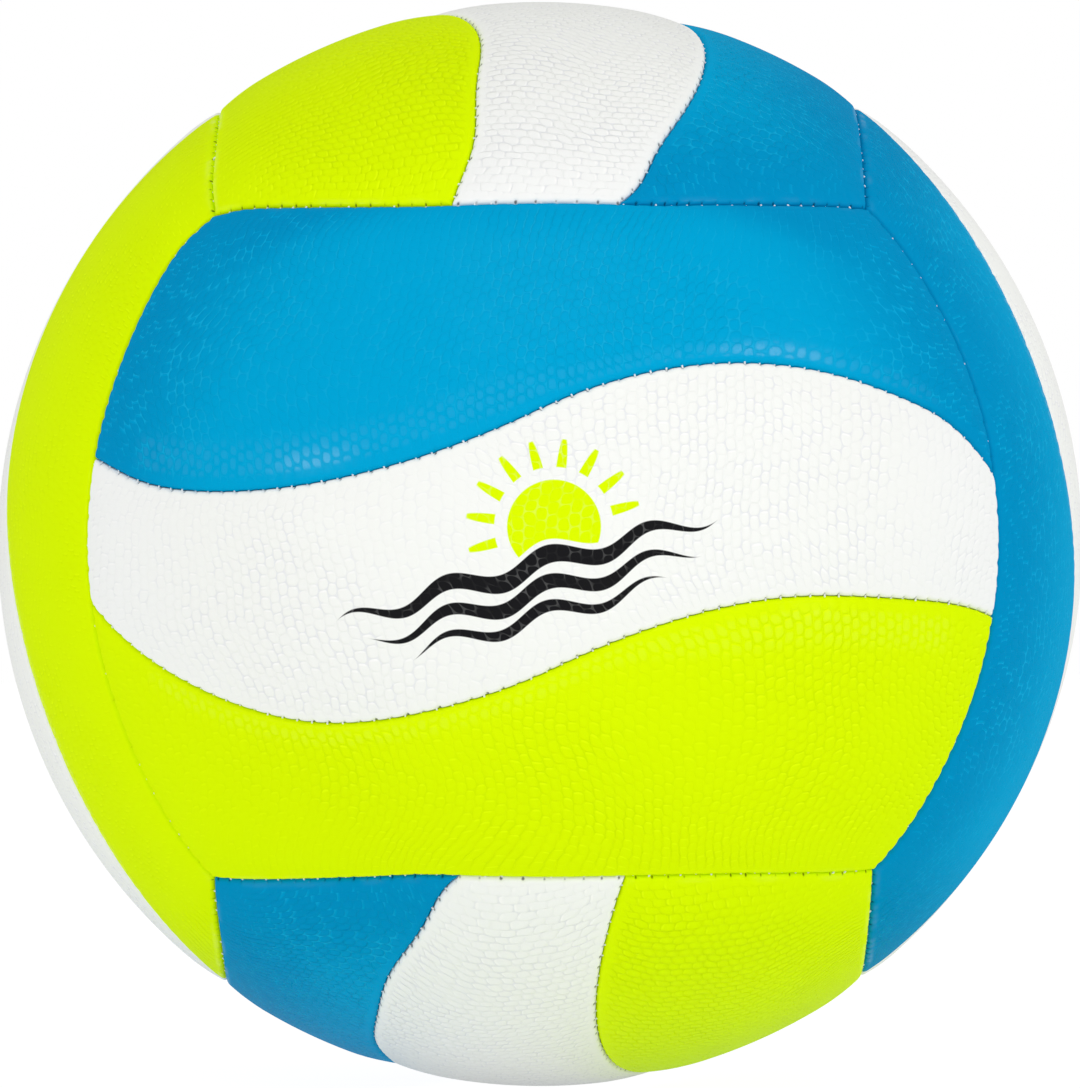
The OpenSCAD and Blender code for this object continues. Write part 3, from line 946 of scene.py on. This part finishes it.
def sew(name, lines, node):
    """A piece with the stitches of all these seams, for the CAD's thread."""
    points = np.concatenate(lines)
    ends = np.cumsum([len(line) for line in lines])
    edges = [(i, i + 1) for i in range(len(points) - 1) if i + 1 not in ends]
    mesh = bpy.data.meshes.new(name)
    mesh.from_pydata(points, edges, [])
    seams = new_piece(name, mesh)
    modifier = seams.modifiers.new("stitches", "NODES")
    modifier.node_group = rungs_tree
    inputs = {item.name: item.identifier for item in rungs_tree.interface.items_tree
              if item.in_out == "INPUT"}
    modifier[inputs["Pitch"]] = STITCH_PITCH * (1 - RUNG_DEPTH / ball_r) * MM
    modifier[inputs["Thread diameter"]] = THREAD_D * MM
    modifier[inputs["Rung width"]] = RUNG_W * MM
    modifier[inputs["Thread"]] = sewing_thread
    graph = bpy.context.evaluated_depsgraph_get()
    sewn = bpy.data.meshes.new_from_object(seams.evaluated_get(graph))
    seams.modifiers.clear()
    seams.data = sewn
    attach(seams, "root")
    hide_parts(node)


face_lines, wave_lines = [], []
corner_reach = math.atan(1 / (math.cos(end_lean) + math.sin(end_lean)))
trough, crest = outer_strip.edges[0].arcs
low, high = trough.azimuth(outer_strip.corners[0]), crest.azimuth(outer_strip.corners[1])
for face in FACES:
    for side in (1, -1):
        arc = end_arc(side)
        face_lines.append(seam_line(
            [(arc, -corner_reach, True), (arc, corner_reach, False)], face_turn(face)))
        wave_lines.append(seam_line(
            [(trough, low, True), (crest, high, False)], face_turn(face) @ half_turn(side)))
sew("face_seam_stitches", face_lines, "face_seam_thread")
sew("wave_seam_stitches", wave_lines, "s_seam_thread")

# Backing, bladder and valve
# Behind the skins lie white EVA foam, woven polyester lining and a butyl bladder. The valve
# is a butyl boot bonded through the bladder, with a rubber plug that the needle goes into.
FOAM_CELLS, FOAM_CELL_H = 1800.0, 0.1
# Threads of the cloth, and how they slant over the ball's curve
WEAVE, WARP_SLANT, WEFT_SLANT, WEAVE_H = 9000, 0.6, 0.5, 0.1
TALC, GRIT, GRIT_H = 160.0, 2600.0, 0.04
TALC_SHARE, TALC_ROUGHNESS = (0.4, 0.75), 0.2
SAME_POINT = 0.001


def foam_finish():
    material, start, place = new_material("backing foam")
    cells = start.node("ShaderNodeTexVoronoi", (), {
        "Vector": place, "Scale": FOAM_CELLS}, "Distance")
    finish_material(start, {
        "Base Color": cells.mixed(paint(236, 232, 220), paint(214, 208, 192)),
        "Roughness": 0.9, "Normal": cells.bump(FOAM_CELL_H, strength=0.6)})
    return material


def woven_finish(name, light, dark):
    material, start, place = new_material(name)
    x, y, z = place.parts()
    warp, weft = (x + y * WARP_SLANT) * WEAVE, (z - y * WEFT_SLANT) * WEAVE
    weave = warp.math("SINE") * weft.math("SINE")
    finish_material(start, {
        "Base Color": weave.rise(-1, 1).mixed(dark, light), "Roughness": 0.85,
        "Normal": weave.bump(WEAVE_H, strength=0.7)})
    return material


def rubber_finish(name, light, dark, roughness, bloom):
    """Moulded butyl with a faint grey bloom of talc."""
    material, start, place = new_material(name)
    talc = place.noise(TALC, detail=5.0)
    finish_material(start, {
        "Base Color": (talc.rise(*TALC_SHARE) * bloom).mixed(dark, light),
        "Roughness": roughness + (talc - 0.5) * TALC_ROUGHNESS,
        "Normal": place.noise(GRIT, detail=2.0).bump(GRIT_H, strength=0.5)})
    return material


INNER_MATERIALS = {
    "foam": foam_finish(),
    "lining": woven_finish("lining cloth", paint(226, 226, 220), paint(188, 188, 182)),
    "bladder": rubber_finish(
        "bladder rubber", paint(92, 92, 94), paint(30, 30, 32), roughness=0.55, bloom=0.8),
    "valve_boot": rubber_finish(
        "valve boot rubber", paint(84, 84, 86), paint(40, 40, 42), roughness=0.5, bloom=0.5),
    "valve_plug": rubber_finish(
        "valve plug rubber", paint(50, 50, 52), paint(16, 16, 18), roughness=0.42, bloom=0.4),
    "valve_patch": woven_finish(
        "valve patch cloth", paint(206, 204, 194), paint(160, 158, 148)),
}


def pulled_backing(name, node):
    """A merged copy of a backing's solid, pulled along with its skin."""
    mesh = node.data.copy()
    merged = bmesh.new()
    merged.from_mesh(mesh)
    bmesh.ops.remove_doubles(merged, verts=merged.verts, dist=SAME_POINT * MM)
    merged.to_mesh(mesh)
    merged.free()
    points = np.zeros((len(mesh.vertices), 3))
    mesh.vertices.foreach_get("co", points.ravel())
    radius = np.linalg.norm(points, axis=1, keepdims=True)
    mesh.vertices.foreach_set("co", (pulled(points / radius) * radius).ravel())
    backing = new_piece(f"{name}_backing", mesh)
    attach(backing, "root")
    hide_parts(name)
    return backing


for name, node in list(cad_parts.items()):
    layer = name.split("_")[0]
    material = INNER_MATERIALS.get(name, INNER_MATERIALS.get(layer))
    if layer in ("foam", "lining"):
        node = pulled_backing(name, node)
    if material:
        node.data.materials.clear()
        node.data.materials.append(material)

# Studio
# The ball lies on a faintly glowing white table in front of a white wall, in the light of
# five soft boxes, and the camera looks at the middle of the front face from 1.2 m.
CAMERA_DISTANCE = 11.5
CAMERA_TURN = (-0.492, 0.578, 0.430)
IMAGE_H = 1088
BALL_PIXELS = 542
SENSOR_W = 36
CLIP_NEAR, CLIP_FAR = 0.05, 40
FLOOR_HALF, FLOOR_GAP = 6, 0.2 * MM
AMBIENT = 0.66
TABLE_GLOW, TABLE_COLOUR = 0.292, (0.93, 0.95, 1, 1)
# What the camera sees of the table: how white it glows, and how much that hides its shading
WHITE_GLOW, GLOW_SHARE = 1.06, 0.88
WHITE_LIGHT, PALE_GREY = (1, 1, 1, 1), (0.8, 0.8, 0.8, 1)
# Each box's name, place and size in metres, and power in watts
SOFT_BOXES = (
    ("top_box", (0.0, -0.9, 1.2), (0.9, 0.9), 3.2),
    ("front_box", (0.0, -1.5, 0.3), (0.9, 0.9), 0.6),
    ("left_box", (-0.99, -0.98, 0.15), (0.36, 0.2), 2.5),
    ("right_box", (1.02, -0.81, 0.55), (0.5, 0.2), 2.9),
    ("low_right_box", (1.17, -0.82, 0.02), (0.24, 0.15), 0.8),
)


def seen_directly(start):
    """1 for the rays that show the background itself, and 0 for those that carry its light."""
    path = start.node("ShaderNodeLightPath").socket.node.outputs
    camera, glossy, through = [
        Wire(start.tree, path[f"Is {ray} Ray"]) for ray in ("Camera", "Glossy", "Transmission")]
    return camera.math("MAXIMUM", glossy.math("MAXIMUM", through))


floor_z = -ball_r * MM - FLOOR_GAP
floor_mesh = bpy.data.meshes.new("studio_floor")
floor_mesh.from_pydata(
    [(x * FLOOR_HALF, y * FLOOR_HALF, floor_z) for x, y in ((-1, -1), (1, -1), (1, 1), (-1, 1))],
    [], [(0, 1, 2, 3)])
floor = new_piece("studio_floor", floor_mesh)
material, start, _ = new_material("pale floor")
matt = start.node("ShaderNodeBsdfDiffuse", (), {"Color": PALE_GREY})
lit = start.node("ShaderNodeEmission", (), {"Color": TABLE_COLOUR, "Strength": TABLE_GLOW})
matt = start.node("ShaderNodeAddShader", (), {0: matt, 1: lit})
glow = start.node("ShaderNodeEmission", (), {"Color": WHITE_LIGHT, "Strength": WHITE_GLOW})
mixed = start.node("ShaderNodeMixShader", (), {
    0: seen_directly(start) * GLOW_SHARE, 1: matt, 2: glow})
start.node("ShaderNodeOutputMaterial", (), {"Surface": mixed})
floor_mesh.materials.append(material)

world = bpy.data.worlds.new("studio")
bpy.context.scene.world = world
world.use_nodes = True
world.node_tree.nodes.clear()
start = Wire(world.node_tree)
backdrop = start.node("ShaderNodeBackground", (), {
    "Color": WHITE_LIGHT, "Strength": AMBIENT + seen_directly(start) * (1 - AMBIENT)})
start.node("ShaderNodeOutputWorld", (), {"Surface": backdrop})

for name, place, size, power in SOFT_BOXES:
    lamp = bpy.data.lights.new(name, "AREA")
    lamp.shape = "RECTANGLE"
    lamp.size, lamp.size_y = size
    lamp.energy = power
    box = new_piece(name, lamp)
    box.matrix_world = (Matrix.Translation(place)
                        @ (-Vector(place)).to_track_quat("-Z", "Y").to_matrix().to_4x4())

camera = new_piece("camera", bpy.data.cameras.new("camera"))
turned = Vector([math.radians(a) for a in CAMERA_TURN])
look = Matrix.Rotation(turned.length, 3, turned.normalized()).transposed()
look = Matrix(face_turn("front").tolist()) @ look
camera.matrix_world = Matrix.Translation(
    look @ Vector((0, 0, CAMERA_DISTANCE * ball_r * MM))) @ look.to_4x4()
focal_pixels = BALL_PIXELS * math.sqrt(CAMERA_DISTANCE**2 - 1)
camera.data.sensor_width = SENSOR_W
camera.data.lens = focal_pixels * SENSOR_W / IMAGE_H
camera.data.clip_start, camera.data.clip_end = CLIP_NEAR, CLIP_FAR
bpy.context.scene.camera = camera

bpy.context.scene.view_settings.view_transform = "Standard"
